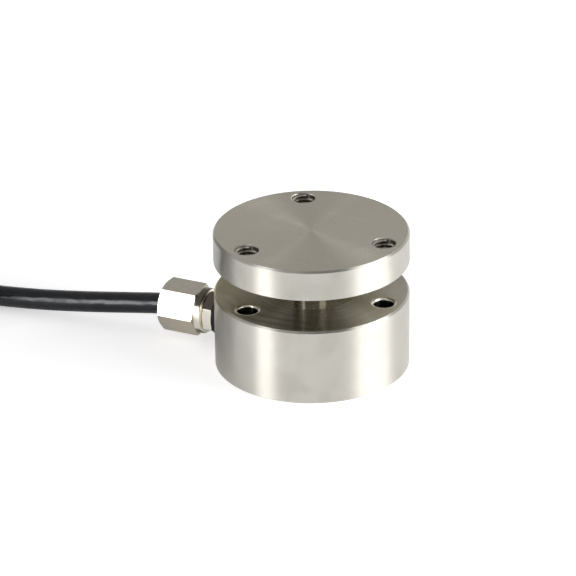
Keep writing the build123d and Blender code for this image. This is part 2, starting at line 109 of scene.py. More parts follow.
# Heights of the steel's parts: low end, high end
GAP = (0.01985, 0.02875)
LOWER_BORES = (0.0140, 0.0240)
BORE_MOUTHS = (0.0191, 0.0202)
DRUM_EDGE = (0.0193, 0.0200)

# Distances from a bolt hole's axis: edge of the painted shade inside the bore, and the ring of painted
# glint round the lower mouths
BORE_EDGE = (0.00301, 0.00306)
GLINT_INSIDE = (0.00256, 0.00262)
GLINT_OUTSIDE = (0.00328, 0.00336)
LOWER_BORE_NARROWER = 0.00044

# The ledge in the gap shines inside the first of these radii and is duller past the second
BRIGHT_LEDGE = (0.0114, 0.0122)

# Depth of turning marks and of grain, as Bump nodes take them
RING_DEPTH = 0.000004
FINE_GRAIN = 0.00001
COARSE_GRAIN = 0.00003

# A line's round section has few sides, so it is made a little wider than its diameter
SECTION_SPARE = 1.015

# The ridge of a thread runs this far into the wall of its hole
RIDGE_OVERLAP = 0.00003

# Floor: half its width, and its height just below the foot; the lamps' distance and what they face
FLOOR_REACH = 6
FLOOR_HEIGHT = -2e-5
LAMP_DISTANCE = 0.9
LAMP_AIM = (0, 0, 0.02)


class LoadCellThreads(PropertyGroup):
    """Sizes of the M6 threads in the two faces."""

    major: FloatProperty(name="Major diameter", description="Diameter at the thread's root in the hole",
                         default=0.006, min=0.001, unit="LENGTH")
    minor: FloatProperty(name="Minor diameter", description="Diameter between the thread's crests",
                         default=0.00495, min=0.001, unit="LENGTH")
    pitch: FloatProperty(name="Pitch", description="Rise of one turn of the thread",
                         default=0.001, min=0.0002, unit="LENGTH")
    circle: FloatProperty(name="Bolt circle", description="Diameter of the circle through the holes",
                          default=0.040, min=0.01, unit="LENGTH")
    count: IntProperty(name="Holes", description="Number of holes in each face", default=3, min=1)
    top_low: FloatProperty(name="Top flange underside", default=0.0293, unit="LENGTH",
                           description="Height where the upper threads start")
    top_high: FloatProperty(name="Top face", description="Height where the upper threads end",
                            default=0.03603, unit="LENGTH")
    lower_low: FloatProperty(name="Lower thread start", default=0.0007, unit="LENGTH",
                             description="Height where the lower threads start")
    lower_high: FloatProperty(name="Lower thread end", description="Height where the lower threads end",
                              default=0.0135, unit="LENGTH")


class LoadCellCable(PropertyGroup):
    """Sizes of the cable, its coil and its stripped end."""

    diameter: FloatProperty(name="Diameter", description="Outer diameter of the jacket",
                            default=0.0055, min=0.001, unit="LENGTH")
    length: FloatProperty(name="Length", description="Length of the cable outside the gland",
                          default=2.94, min=0.1, unit="LENGTH")
    row_height: FloatProperty(name="First row", description="Height of the coil's lowest turns",
                              default=0.0037, unit="LENGTH")
    row_rise: FloatProperty(name="Row rise", description="Rise from one row of turns to the next",
                            default=0.00477, unit="LENGTH")
    inner_radius: FloatProperty(name="Smallest turn", description="Radius of the coil's smallest turn",
                                default=0.0165, unit="LENGTH")
    turn_points: IntProperty(name="Points a turn", default=16, min=12,
                             description="Control points in each turn of the coil")
    wire: FloatProperty(name="Wire diameter", description="Diameter of each stripped wire",
                        default=0.0013, min=0.0003, unit="LENGTH")


class LoadCellColours(PropertyGroup):
    """Colours of the finishes."""

    steel: FloatVectorProperty(name="Turned steel", description="Body, flange and stem", size=3,
                               subtype="COLOR", min=0.0, max=1.0, default=(0.60, 0.58, 0.53))
    brass: FloatVectorProperty(name="Plated brass", description="Pieces of the cable gland", size=3,
                               subtype="COLOR", min=0.0, max=1.0, default=(0.62, 0.57, 0.475))
    jacket: FloatVectorProperty(name="Cable jacket", description="Outer jacket of the cable", size=3,
                                subtype="COLOR", min=0.0, max=1.0, default=(0.015, 0.016, 0.020))
    rubber: FloatVectorProperty(name="Rubber", description="Sealing ring, bush and gasket", size=3,
                                subtype="COLOR", min=0.0, max=1.0, default=(0.02, 0.02, 0.02))
    nylon: FloatVectorProperty(name="Cable ties", description="Ties round the coil", size=3,
                               subtype="COLOR", min=0.0, max=1.0, default=(0.80, 0.79, 0.74))
    floor: FloatVectorProperty(name="Floor", description="Studio floor", size=3,
                               subtype="COLOR", min=0.0, max=1.0, default=(0.84, 0.84, 0.85))


class LoadCellStudio(PropertyGroup):
    """Camera and lamps."""

    place: FloatVectorProperty(name="Camera place", description="Where the camera stands", size=3,
                               subtype="TRANSLATION", unit="LENGTH", default=(0.3416, -0.7496, 0.4147))
    heading: FloatProperty(name="Heading", description="Turn of the camera about the vertical",
                           subtype="ANGLE", default=radians(24.92))
    tilt: FloatProperty(name="Tilt", description="Tilt of the camera up from straight down",
                        subtype="ANGLE", default=radians(64.42))
    roll: FloatProperty(name="Roll", description="Roll of the camera about its own line of sight",
                        subtype="ANGLE", default=radians(-0.70))
    lens: FloatProperty(name="Lens", description="Focal length in millimetres on a 36 mm wide sensor",
                        default=223.73, min=20.0)
    lamps: FloatProperty(name="Lamps", description="Strength of all the lamps together",
                         default=1.0, min=0.0)
    sky: FloatProperty(name="Surroundings", description="Strength of the light from all round",
                       default=1.0, min=0.0)


def mm(points):
    """Points in millimetres as vectors in metres."""
    return [Vector(p) * MM for p in points]


def new_object(name, data):
    """A new object in the scene, at the origin."""
    piece = bpy.data.objects.new(name, data)
    bpy.context.scene.collection.objects.link(piece)
    return piece


def smoothed(mesh, sharp):
    """A mesh with smooth faces, and edges that are sharp above an angle in degrees."""
    mesh.shade_smooth()
    mesh.set_sharp_from_angle(angle=radians(sharp))
    return mesh


def new_mesh(name, points, faces):
    """A smooth mesh piece from points and faces."""
    mesh = bpy.data.meshes.new(name)
    mesh.from_pydata([tuple(p) for p in points], [], faces)
    mesh.validate()
    return new_object(name, smoothed(mesh, 35))


def evaluated_mesh(piece):
    """The plain mesh that an object shows. The object itself is removed."""
    graph = bpy.context.evaluated_depsgraph_get()
    mesh = bpy.data.meshes.new_from_object(piece.evaluated_get(graph))
    bpy.data.objects.remove(piece)
    return mesh


def dress(piece, material, replaced=()):
    """Gives a finished piece its material, and lets it ride with the cell."""
    piece.data.materials.clear()
    piece.data.materials.append(material)
    if replaced:
        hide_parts(*replaced)
    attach(piece, "root")
    return piece


def finish_nodes(material, *names):
    """Gives carried-over CAD nodes their material."""
    for name in names:
        NODES[name].material_slots[0].material = material


# Node trees

def add(tree, kind, place=(0, 0), **settings):
    """A node of a kind, with its settings."""
    node = tree.nodes.new(kind)
    node.location = place
    for key, value in settings.items():
        setattr(node, key, value)
    return node


def feed(tree, socket, value):
    """Links a socket to another, or sets its value."""
    if value is None:
        return
    if isinstance(value, bpy.types.NodeSocket):
        tree.links.new(value, socket)
    else:
        socket.default_value = value


def step(tree, kind, inputs, **settings):
    """A node with its inputs linked or set by name, and its settings. Returns its first output."""
    node = add(tree, kind, **settings)
    for label, value in inputs.items():
        feed(tree, node.inputs[label], value)
    return node.outputs[0]


def math_node(tree, operation, *values):
    """A Math node on sockets or numbers. Returns its output."""
    node = add(tree, "ShaderNodeMath", operation=operation)
    for socket, value in zip(node.inputs, values):
        feed(tree, socket, value)
    return node.outputs[0]


def product(tree, *factors):
    """The product of sockets or numbers."""
    total = factors[0]
    for factor in factors[1:]:
        total = math_node(tree, "MULTIPLY", total, factor)
    return total


def ramp(tree, value, low, high, low_out, high_out, smooth=True):
    """Maps a value from one range to another, held at its ends."""
    node = add(tree, "ShaderNodeMapRange", interpolation_type="SMOOTHSTEP" if smooth else "LINEAR")
    for socket, item in zip(node.inputs, (value, low, high, low_out, high_out)):
        feed(tree, socket, item)
    return node.outputs[0]


def mixed(tree, amount, first, second, kind="FLOAT", blend="MIX"):
    """The first value or colour, turning into the second as the amount goes from 0 to 1."""
    node = add(tree, "ShaderNodeMix", data_type=kind, blend_type=blend)
    for label, value in (("Factor", amount), ("A", first), ("B", second)):
        feed(tree, node.inputs[label], value)
    return node.outputs["Result"]


def multiplied(tree, colour, factor, amount):
    """A colour multiplied by another as far as the amount goes from 0 to 1."""
    return mixed(tree, amount, colour, (*factor, 1.0), "RGBA", "MULTIPLY")


def tint(tree, colour, amount, low, high):
    """A colour that goes from a darker to a lighter one as the amount goes from 0 to 1."""
    darker = (*[c * low for c in colour], 1.0)
    lighter = (*[min(1.0, c * high) for c in colour], 1.0)
    return mixed(tree, amount, darker, lighter, "RGBA")


def object_place(tree):
    """Object coordinates of the surface."""
    return add(tree, "ShaderNodeTexCoord").outputs["Object"]


def parted(tree, vector):
    """The X, Y and Z of a vector."""
    split = add(tree, "ShaderNodeSeparateXYZ")
    feed(tree, split.inputs[0], vector)
    return split.outputs


def noise(tree, place, scale, detail=2.0, distortion=0.0):
    """A Noise texture on a vector."""
    inputs = {"Vector": place, "Scale": scale, "Detail": detail, "Distortion": distortion}
    return step(tree, "ShaderNodeTexNoise", inputs)


def line_noise(tree, station, scale, detail):
    """A Noise texture along a single value."""
    inputs = {"W": station, "Scale": scale, "Detail": detail}
    return step(tree, "ShaderNodeTexNoise", inputs, noise_dimensions="1D")


def distance(tree, first, second):
    """The distance between two places."""
    span = add(tree, "ShaderNodeVectorMath", operation="DISTANCE")
    feed(tree, span.inputs[0], first)
    feed(tree, span.inputs[1], second)
    return span.outputs["Value"]


def bump(tree, height, depth, strength=1.0, before=None):
    """A Bump node of a depth in metres. Returns its normal."""
    inputs = {"Strength": strength, "Distance": depth, "Height": height, "Normal": before}
    return step(tree, "ShaderNodeBump", inputs)


def soft_edges(tree, radius):
    """The normal of edges rounded by a small radius."""
    return step(tree, "ShaderNodeBevel", {"Radius": radius}, samples=6)


def height_band(tree, heights, soft):
    """1 between two heights and 0 outside them, in metres."""
    low, high = heights
    height = parted(tree, object_place(tree))[2]
    above = ramp(tree, height, low - soft, low + soft, 0.0, 1.0)
    return product(tree, above, ramp(tree, height, high - soft, high + soft, 1.0, 0.0))


# Shader groups

def new_group(name, inputs, outputs):
    """An empty shader group with named inputs and outputs, all of them numbers."""
    group = bpy.data.node_groups.new(name, "ShaderNodeTree")
    for label, default in inputs.items():
        socket = group.interface.new_socket(label, in_out="INPUT", socket_type="NodeSocketFloat")
        socket.default_value = default
    for label in outputs:
        group.interface.new_socket(label, in_out="OUTPUT", socket_type="NodeSocketFloat")
    start = add(group, "NodeGroupInput", (-900, 0))
    end = add(group, "NodeGroupOutput", (900, 0))
    return group, start, end


def turning_marks(name):
    """Shader group: the fine rings that a lathe leaves, on flat faces and on walls about Z."""
    inputs = {"Rings per metre": 2600.0, "Wander": 0.35}
    group, start, end = new_group(name, inputs, ("Height", "Shade", "Level", "Radius"))
    place = object_place(group)
    x, y, z = parted(group, place)
    square = math_node(group, "ADD", product(group, x, x), product(group, y, y))
    radius = math_node(group, "SQRT", square)
    normal = add(group, "ShaderNodeNewGeometry").outputs["True Normal"]
    level = math_node(group, "ABSOLUTE", parted(group, normal)[2])
    flat = math_node(group, "GREATER_THAN", level, 0.7)
    along = product(group, z, math_node(group, "SUBTRACT", 1.0, flat))
    station = math_node(group, "ADD", product(group, radius, flat), along)
    drift = product(group, noise(group, place, 90.0), start.outputs["Wander"])
    line = math_node(group, "ADD", product(group, station, start.outputs["Rings per metre"]), drift)
    fine = line_noise(group, line, 1.0, 3.0)
    broad = line_noise(group, line, 0.14, 2.0)
    shade = math_node(group, "ADD", product(group, fine, 0.5), product(group, broad, 0.5))
    for label, value in {"Height": fine, "Shade": shade, "Level": level, "Radius": radius}.items():
        feed(group, end.inputs[label], value)
    return group


def handling_marks(name):
    """Shader group: smudges and fine grain from handling."""
    group, start, end = new_group(name, {"Smudge size": 120.0}, ("Smudge", "Grain"))
    place = object_place(group)
    cloud = noise(group, place, start.outputs["Smudge size"], 4.0, 0.6)
    feed(group, end.inputs["Smudge"], ramp(group, cloud, 0.42, 0.68, 0.0, 1.0))
    feed(group, end.inputs["Grain"], noise(group, place, 3200.0, 3.0))
    return group


def hole_distance(name):
    """Shader group: distance from the axis of the nearest bolt hole, in metres."""
    group, start, end = new_group(name, {"Circle radius": 0.02}, ("Distance",))
    level = add(group, "ShaderNodeVectorMath", operation="MULTIPLY")
    feed(group, level.inputs[0], object_place(group))
    level.inputs[1].default_value = (1.0, 1.0, 0.0)
    nearest = 1.0
    for turn in (0, 120, 240):
        centre = step(group, "ShaderNodeCombineXYZ", {
            "X": product(group, start.outputs[0], cos(radians(turn))),
            "Y": product(group, start.outputs[0], sin(radians(turn)))})
        away = distance(group, level.outputs[0], centre)
        nearest = math_node(group, "MINIMUM", nearest, away)
    feed(group, end.inputs[0], nearest)
    return group


def place_group(tree, maker, **values):
    """A node of a group, which is built at its first use, with its own values. Returns its outputs."""
    name = maker.__name__.replace("_", " ").capitalize()
    node = add(tree, "ShaderNodeGroup", node_tree=bpy.data.node_groups.get(name) or maker(name))
    for label, value in values.items():
        node.inputs[label.replace("_", " ")].default_value = value
    return node.outputs


# Materials

def new_material(name, metallic=0.0):
    """A material with a Principled shader. Returns the material, its tree and the shader's inputs."""
    material = bpy.data.materials.new(name)
    material.use_nodes = True
    sockets = material.node_tree.nodes["Principled BSDF"].inputs
    sockets["Metallic"].default_value = metallic
    return material, material.node_tree, sockets


def steel_finish(name, colour, anisotropy=0.95):
    """Fine turned stainless steel: rings about Z that stretch its highlights across them."""
    material, tree, shader = new_material(name, 1.0)
    rings = place_group(tree, turning_marks)
    arcs = place_group(tree, turning_marks, Rings_per_metre=620.0, Wander=3.0)
    smudge = place_group(tree, handling_marks)["Smudge"]
    hole = place_group(tree, hole_distance)[0]
    x, y, z = parted(tree, object_place(tree))

    # Where the surface is: flat faces, rounded rims, the gap, the stem, the bores and their mouths
    gap = height_band(tree, GAP, 0.00003)
    on_face = ramp(tree, rings["Level"], 0.85, 0.98, 0.0, 1.0)
    on_rim = ramp(tree, rings["Level"], 0.20, 0.40, 0.0, 1.0)
    gap_face = product(tree, gap, on_face)
    stem = product(tree, gap, ramp(tree, rings["Level"], 0.1, 0.3, 1.0, 0.0))
    outer = ramp(tree, rings["Radius"], *BRIGHT_LEDGE, 0.0, 1.0)
    lower = height_band(tree, LOWER_BORES, 0.0003)
    narrowed = math_node(tree, "MULTIPLY_ADD", lower, LOWER_BORE_NARROWER, hole)
    # Painted shade: the bore walls are made nearly black, a little less in the upper flange
    painted_bore_shade = product(tree, ramp(tree, narrowed, *BORE_EDGE, 1.0, 0.0),
                   ramp(tree, z, 0.020, 0.028, 1.0, 0.8))
    # Painted glint: a ring round the lower mouths, where their rounded edges catch the lamps, is
    # lightened by half and freed of the ledge's darkening
    mouth_glint = product(tree, ramp(tree, hole, *GLINT_INSIDE, 0.0, 1.0),
                   ramp(tree, hole, *GLINT_OUTSIDE, 1.0, 0.0), height_band(tree, BORE_MOUTHS, 0.00005))

    # What has marked it: a brownish stain on the ledge that is partly painted shade in the gap, broken
    # streaks, a yellowish line along the drum's edge, scuffs
    patchy = math_node(tree, "ADD", product(tree, smudge, 0.35), 0.8)
    # The ledge is darkened by half, as a stain and as painted shade in the recessed gap, darkest on the
    # gland's side
    stain_and_gap_shade = product(tree, gap_face, ramp(tree, x, 0.006, 0.022, 1.0, 0.35), patchy)
    stain_and_gap_shade = product(tree, math_node(tree, "MINIMUM", stain_and_gap_shade, 1.0),
                      math_node(tree, "SUBTRACT", 1.0, mouth_glint))
    sideways = math_node(tree, "ABSOLUTE", x)
    streaks = product(tree, gap_face, ramp(tree, arcs["Height"], 0.42, 0.62, 0.0, 1.0),
                      ramp(tree, smudge, 0.0, 0.8, 1.0, 0.2),
                      ramp(tree, sideways, 0.009, 0.019, 1.0, 0.15))
    # A yellowish line along the lower drum's rim, on the gland's side
    edge = product(tree, height_band(tree, DRUM_EDGE, 0.00005), on_rim,
                   ramp(tree, x, -0.024, -0.006, 1.0, 0.0))
    scuffs = place_group(tree, handling_marks, Smudge_size=150.0)["Smudge"]
    scuffed = product(tree, scuffs, ramp(tree, on_face, 0.0, 1.0, 1.0, 0.12))

    shade = math_node(tree, "ADD", product(tree, rings["Shade"], 0.7), product(tree, smudge, 0.3))
    finished = tint(tree, colour, shade, 0.94, 1.06)
    layers = [((0.962, 0.957, 0.945), scuffed), ((1.0, 0.965, 0.88), on_face),
              ((0.50, 0.49, 0.44), stain_and_gap_shade), ((0.70, 0.68, 0.64), streaks), ((0.85, 0.72, 0.44), edge),
              ((1.5, 1.5, 1.5), mouth_glint), ((0.04, 0.04, 0.045), painted_bore_shade)]
    for factor, amount in layers:
        finished = multiplied(tree, finished, factor, amount)
    feed(tree, shader["Base Color"], finished)

    wall = ramp(tree, shade, 0.3, 0.7, 0.38, 0.45, smooth=False)
    rough = math_node(tree, "MULTIPLY_ADD", scuffed, 0.012, wall)
    face = ramp(tree, shade, 0.2, 0.8, 0.25, 0.29, smooth=False)
    ledge = mixed(tree, outer, 0.13, 0.33)
    layers = [(on_rim, 0.38), (on_face, face), (gap_face, ledge), (stem, 0.26), (mouth_glint, 0.30)]
    for amount, value in layers:
        rough = mixed(tree, amount, rough, value)
    feed(tree, shader["Roughness"], rough)
    shader["Anisotropic"].default_value = anisotropy
    shader["Anisotropic Rotation"].default_value = 0.25
    feed(tree, shader["Tangent"], step(tree, "ShaderNodeTangent", {}, direction_type="RADIAL", axis="Z"))
    feed(tree, shader["Normal"], bump(tree, rings["Height"], RING_DEPTH, 1.0, soft_edges(tree, 0.00012)))
    return material


def thread_finish(name, colour):
    """Cut threads, with a painted highlight lightening their colour and painted shade darkening and
    browning the roots.
    """
    material, tree, shader = new_material(name, 1.0)
    marks = place_group(tree, handling_marks, Smudge_size=900.0)
    # Painted shade: the roots, deeper in the wall, are darkened with a brown cast
    root = ramp(tree, place_group(tree, hole_distance)[0], 0.00250, 0.00290, 0.0, 1.0)
    # Painted highlight: the thread's colour is lightened to 1.3 to 1.6 times the steel's
    painted_crest_light = tint(tree, colour, marks["Smudge"], 1.3, 1.6)
    feed(tree, shader["Base Color"], multiplied(tree, painted_crest_light, (0.36, 0.33, 0.27), root))
    feed(tree, shader["Roughness"], ramp(tree, marks["Smudge"], 0.0, 1.0, 0.26, 0.38))
    feed(tree, shader["Normal"], bump(tree, marks["Grain"], 0.000004, 0.6))
    return material


def plated_finish(name, colour):
    """Satin nickel plating over machined brass, with painted shade on the hexagon's upper flats and a
    painted highlight on its front.
    """
    material, tree, shader = new_material(name, 1.0)
    marks = place_group(tree, handling_marks, Smudge_size=420.0)
    level = place_group(tree, turning_marks)["Level"]
    hexagon = ramp(tree, parted(tree, object_place(tree))[0], -0.0312, -0.0308, 0.0, 1.0)
    # Painted shade darkens the hexagon's upper flats to about a quarter, and a painted highlight
    # lightens its front
    upper = product(tree, hexagon, ramp(tree, level, 0.45, 0.6, 0.0, 1.0))
    painted_light_front = math_node(tree, "SUBTRACT", hexagon, upper)
    plated = tint(tree, colour, marks["Smudge"], 0.97, 1.03)
    plated = multiplied(tree, plated, (1.55, 1.62, 1.72), painted_light_front)
    feed(tree, shader["Base Color"], multiplied(tree, plated, (0.26, 0.25, 0.24), upper))
    feed(tree, shader["Roughness"], ramp(tree, marks["Smudge"], 0.0, 1.0, 0.22, 0.26))
    feed(tree, shader["Normal"], bump(tree, marks["Grain"], 0.000002, 0.5, soft_edges(tree, 0.00018)))
    return material


def jacket_finish(name, colour):
    """Semi-gloss extruded jacket with the slight waviness of a cable that was coiled."""
    material, tree, shader = new_material(name)
    marks = place_group(tree, handling_marks, Smudge_size=160.0)
    feed(tree, shader["Base Color"], tint(tree, colour, marks["Smudge"], 0.15, 0.4))
    feed(tree, shader["Roughness"], ramp(tree, marks["Smudge"], 0.0, 1.0, 0.20, 0.28))
    shader["Specular IOR Level"].default_value = 0.56
    shader["Specular Tint"].default_value = (0.93, 0.96, 1.0, 1.0)
    waved = bump(tree, noise(tree, object_place(tree), 230.0, 1.0), 0.00045, 0.7)
    feed(tree, shader["Normal"], bump(tree, marks["Grain"], 0.000012, 0.5, waved))
    return material


def plain_finish(name, colour, rough, grain=FINE_GRAIN, metallic=0.0, size=300.0, gloss=0.5):
    """Moulded plastic, rubber, ceramic or tinned wire: a colour with grain and faint smudges."""
    material, tree, shader = new_material(name, metallic)
    marks = place_group(tree, handling_marks, Smudge_size=size)
    feed(tree, shader["Base Color"], tint(tree, colour, marks["Smudge"], 0.88, 1.08))
    feed(tree, shader["Roughness"], ramp(tree, marks["Smudge"], 0.0, 1.0, *rough))
    shader["Specular IOR Level"].default_value = gloss
    feed(tree, shader["Normal"], bump(tree, marks["Grain"], grain, 0.6))
    return material


def gauge_finish(name, colour, foil_colour=(0.58, 0.55, 0.50), lines_per_metre=5000.0):
    """Strain gauge: fine metal foil lines across the strain, on a film."""
    material, tree, shader = new_material(name)
    radius = place_group(tree, turning_marks)["Radius"]
    share = math_node(tree, "FRACT", product(tree, radius, lines_per_metre))
    from_middle = math_node(tree, "ABSOLUTE", math_node(tree, "SUBTRACT", share, 0.5))
    foil = ramp(tree, from_middle, 0.2, 0.3, 0.0, 1.0)
    film = mixed(tree, foil, (*colour, 1.0), (*foil_colour, 1.0), "RGBA")
    feed(tree, shader["Base Color"], film)
    feed(tree, shader["Metallic"], foil)
    feed(tree, shader["Roughness"], mixed(tree, foil, 0.42, 0.3))
    return material


def board_finish(name, colour, threads=9000.0):
    """Glass-fibre laminate: a fine weave under a green lacquer."""
    material, tree, shader = new_material(name)
    smudge = place_group(tree, handling_marks, Smudge_size=500.0)["Smudge"]
    x, y, z = parted(tree, object_place(tree))
    across, along = (math_node(tree, "SINE", product(tree, station, threads)) for station in (x, y))
    weave = ramp(tree, product(tree, across, along), -1.0, 1.0, 0.0, 1.0)
    shade = mixed(tree, 0.6, smudge, weave)
    feed(tree, shader["Base Color"], tint(tree, colour, shade, 0.78, 1.2))
    feed(tree, shader["Roughness"], ramp(tree, smudge, 0.0, 1.0, 0.28, 0.4))
    feed(tree, shader["Normal"], bump(tree, weave, 0.00002, 0.5))
    return material


def slot_colour(slot):
    """The colour that the record gives to a material slot."""
    return next(m["base_color"] for m in frame["record"]["materials"] if m["slot"] == slot)


# Cable

def nurbs(name, points, diameter, sides=6, resolution=6):
    """One open spline with these control points, round in section."""
    data = bpy.data.curves.new(name, "CURVE")
    data.dimensions = "3D"
    spline = data.splines.new("NURBS")
    spline.points.add(len(points) - 1)
    for point, place in zip(spline.points, points):
        point.co = (*place, 1.0)
    spline.order_u = 3
    spline.use_endpoint_u = True
    spline.resolution_u = resolution
    data.bevel_depth = diameter / 2 * SECTION_SPARE
    data.bevel_resolution = sides
    data.use_fill_caps = diameter > 0
    return new_object(name, data)


def coil_turns(sizes):
    """Radius and height of each turn: six rows, each in the hollows of the row below."""
    wide_row = [sizes.inner_radius + sizes.diameter * i for i in range(3)]
    slim_row = [sizes.inner_radius + sizes.diameter * (i + 0.5) for i in range(2)]
    turns = []
    for row in range(COIL_ROWS):
        radii = wide_row[::-1] if row % 2 == 0 else slim_row
        turns += [(radius, sizes.row_height + row * sizes.row_rise) for radius in radii]
    return turns + [(TOP_TURN_RADIUS, turns[-1][1] + TOP_TURN_RISE)]


def coil_points(sizes):
    """Control points of the oval coil's turns."""
    turns = coil_turns(sizes)
    far = COIL_STRAIGHT * MM
    spacing = 360 / sizes.turn_points
    bend = [spacing * (k + 0.5) for k in range(sizes.turn_points // 2)]
    around = [(far * share, 90.0) for share in (0.25, 0.75)]
    around += [(far, 90 + angle) for angle in bend]
    around += [(far * share, 270.0) for share in (0.75, 0.25)]
    around += [(0.0, 270 + angle) for angle in bend]
    reach = (cos(radians(spacing / 2)) + 1) / 2
    points = []
    for turn in range(COIL_TURNS):
        (radius, height), (next_radius, next_height) = turns[turn], turns[turn + 1]
        for shift, angle in around:
            blend = 0.0
            if shift == 0:
                blend = min(1.0, max(0.0, (angle - CROSSING_START) / CROSSING_SPAN))
            blend = blend * blend * (3 - 2 * blend)
            out = radius + (next_radius - radius) * blend
            rise = height + (next_height - height) * blend
            if turn == 0:
                rise = min(rise, FIRST_LOW + FIRST_RISE * len(points))
            corner = out if angle in (90.0, 270.0) else out / reach
            points.append(Vector((COIL_NEAR[0] * MM - shift + corner * cos(radians(angle)),
                                  COIL_NEAR[1] * MM + corner * sin(radians(angle)), rise)))
    return points


def path_of(points):
    """Points along the NURBS line through a route's control points."""
    mesh = evaluated_mesh(nurbs("line", points, 0.0, resolution=12))
    found = [v.co.copy() for v in mesh.vertices]
    bpy.data.meshes.remove(mesh)
    return found


def frames_along(points):
    """Each point of a path with a turning-free pair of side directions."""
    side = None
    found = []
    for i, point in enumerate(points):
        ahead = (points[min(i + 1, len(points) - 1)] - points[max(i - 1, 0)]).normalized()
        if side is None:
            side = ahead.cross(Vector((0, 0, 1))).normalized()
        side = (side - ahead * side.dot(ahead)).normalized()
        found.append((point, side, ahead.cross(side)))
    return found


def tube_faces(base, rings, steps):
    """Faces of a closed tube from rings of points that follow each other from a first point."""
    faces = []
    for i in range(rings - 1):
        for k in range(steps):
            a, b = base + i * steps + k, base + i * steps + (k + 1) % steps
            faces.append((a, b, b + steps, a + steps))
    last = base + (rings - 1) * steps
    return faces + [[base + k for k in range(steps)][::-1], [last + k for k in range(steps)]]


def stranded(path, radius, strands, lay, steps=8):
    """Points and faces of round strands twisted about a path and about a core along it."""
    thin = radius * sin(pi / strands) / (1 + sin(pi / strands))
    ring = radius - thin
    stations = [0.0]
    for before, after in zip(path, path[1:]):
        stations.append(stations[-1] + (after - before).length)
    points, faces = [], []
    for strand in range(strands + 1):
        off, girth = (ring, thin) if strand < strands else (0.0, ring - thin * 0.6)
        faces += tube_faces(len(points), len(path), steps)
        for (point, side, up), station in zip(frames_along(path), stations):
            turn = 2 * pi * (strand / strands + station / lay)
            centre = point + (side * cos(turn) + up * sin(turn)) * off
            for k in range(steps):
                angle = 2 * pi * k / steps
                points.append(centre + (side * cos(angle) + up * sin(angle)) * girth)
    return points, faces


def lathe(name, profile, origin, axis, steps=64, wobble=0.0):
    """A closed turned piece from (distance, radius) points about an axis through a point."""
    side = axis.orthogonal().normalized()
    up = axis.cross(side)
    points = []
    for station, radius in profile:
        for k in range(steps):
            angle = 2 * pi * k / steps
            out = radius * (1 + wobble * sin(3 * angle + station * 900))
            points.append(origin + axis * station + (side * cos(angle) + up * sin(angle)) * out)
    return new_mesh(name, points, tube_faces(0, len(profile), steps))


# Geometry Nodes

def baked(piece, tree, values):
    """The plain mesh of a Geometry Nodes tree on a carrier object, with these input values."""
    modifier = piece.modifiers.new("Maker", "NODES")
    modifier.node_group = tree
    for item in tree.interface.items_tree:
        if item.item_type == "SOCKET" and item.in_out == "INPUT" and item.name in values:
            modifier[item.identifier] = values[item.name]
    bpy.context.view_layer.update()
    name = piece.name
    mesh = evaluated_mesh(piece)
    mesh.name = name
    return new_object(name, smoothed(mesh, 32))


def new_geometry_tree(name, inputs):
    """An empty Geometry Nodes tree with named inputs."""
    tree = bpy.data.node_groups.new(name, "GeometryNodeTree")
    tree.interface.new_socket("Geometry", in_out="INPUT", socket_type="NodeSocketGeometry")
    for label, kind in inputs.items():
        tree.interface.new_socket(label, in_out="INPUT", socket_type="NodeSocket" + kind)
    tree.interface.new_socket("Geometry", in_out="OUTPUT", socket_type="NodeSocketGeometry")
    return tree, add(tree, "NodeGroupInput", (-900, 0)), add(tree, "NodeGroupOutput", (900, 0))


def thread_tree():
    """Geometry Nodes: the ridge of a threaded hole, repeated round a bolt circle."""
    inputs = {"Major": "Float", "Minor": "Float", "Pitch": "Float", "Low": "Float", "High": "Float",
              "Circle": "Float", "Count": "Int", "Material": "Material"}
    tree, start, end = new_geometry_tree("Threaded holes", inputs)
    major, minor, pitch, low, high, circle, count, finish = start.outputs[1:9]
    depth = product(tree, math_node(tree, "SUBTRACT", major, minor), 0.5)
    middle = product(tree, math_node(tree, "ADD", major, minor), 0.25)
    height = math_node(tree, "SUBTRACT", high, low)
    spiral = step(tree, "GeometryNodeCurveSpiral", {
        "Resolution": 48, "Rotations": math_node(tree, "DIVIDE", height, pitch),
        "Start Radius": middle, "End Radius": middle, "Height": height})
    upright = step(tree, "GeometryNodeSetCurveNormal", {"Curve": spiral}, mode="Z_UP")
    ridge = step(tree, "GeometryNodeCurvePrimitiveQuadrilateral", {
        "Height": math_node(tree, "ADD", depth, RIDGE_OVERLAP), "Offset": 0.0,
        "Bottom Width": product(tree, pitch, 0.16), "Top Width": product(tree, pitch, 0.92)},
        mode="TRAPEZOID")
    section = step(tree, "GeometryNodeTransform", {
        "Geometry": ridge, "Rotation": (0.0, 0.0, radians(90))})
    swept = step(tree, "GeometryNodeCurveToMesh", {
        "Curve": upright, "Profile Curve": section, "Fill Caps": True})
    ring = step(tree, "GeometryNodeMeshCircle", {
        "Vertices": count, "Radius": product(tree, circle, 0.5)})
    holes = step(tree, "GeometryNodeInstanceOnPoints", {"Points": ring, "Instance": swept})
    lift = step(tree, "ShaderNodeCombineXYZ", {"Z": low})
    raised = step(tree, "GeometryNodeTranslateInstances", {
        "Instances": holes, "Translation": lift})
    real = step(tree, "GeometryNodeRealizeInstances", {"Geometry": raised})
    painted = step(tree, "GeometryNodeSetMaterial", {"Geometry": real, "Material": finish})
    feed(tree, end.inputs[0], painted)
    return tree


# Operators

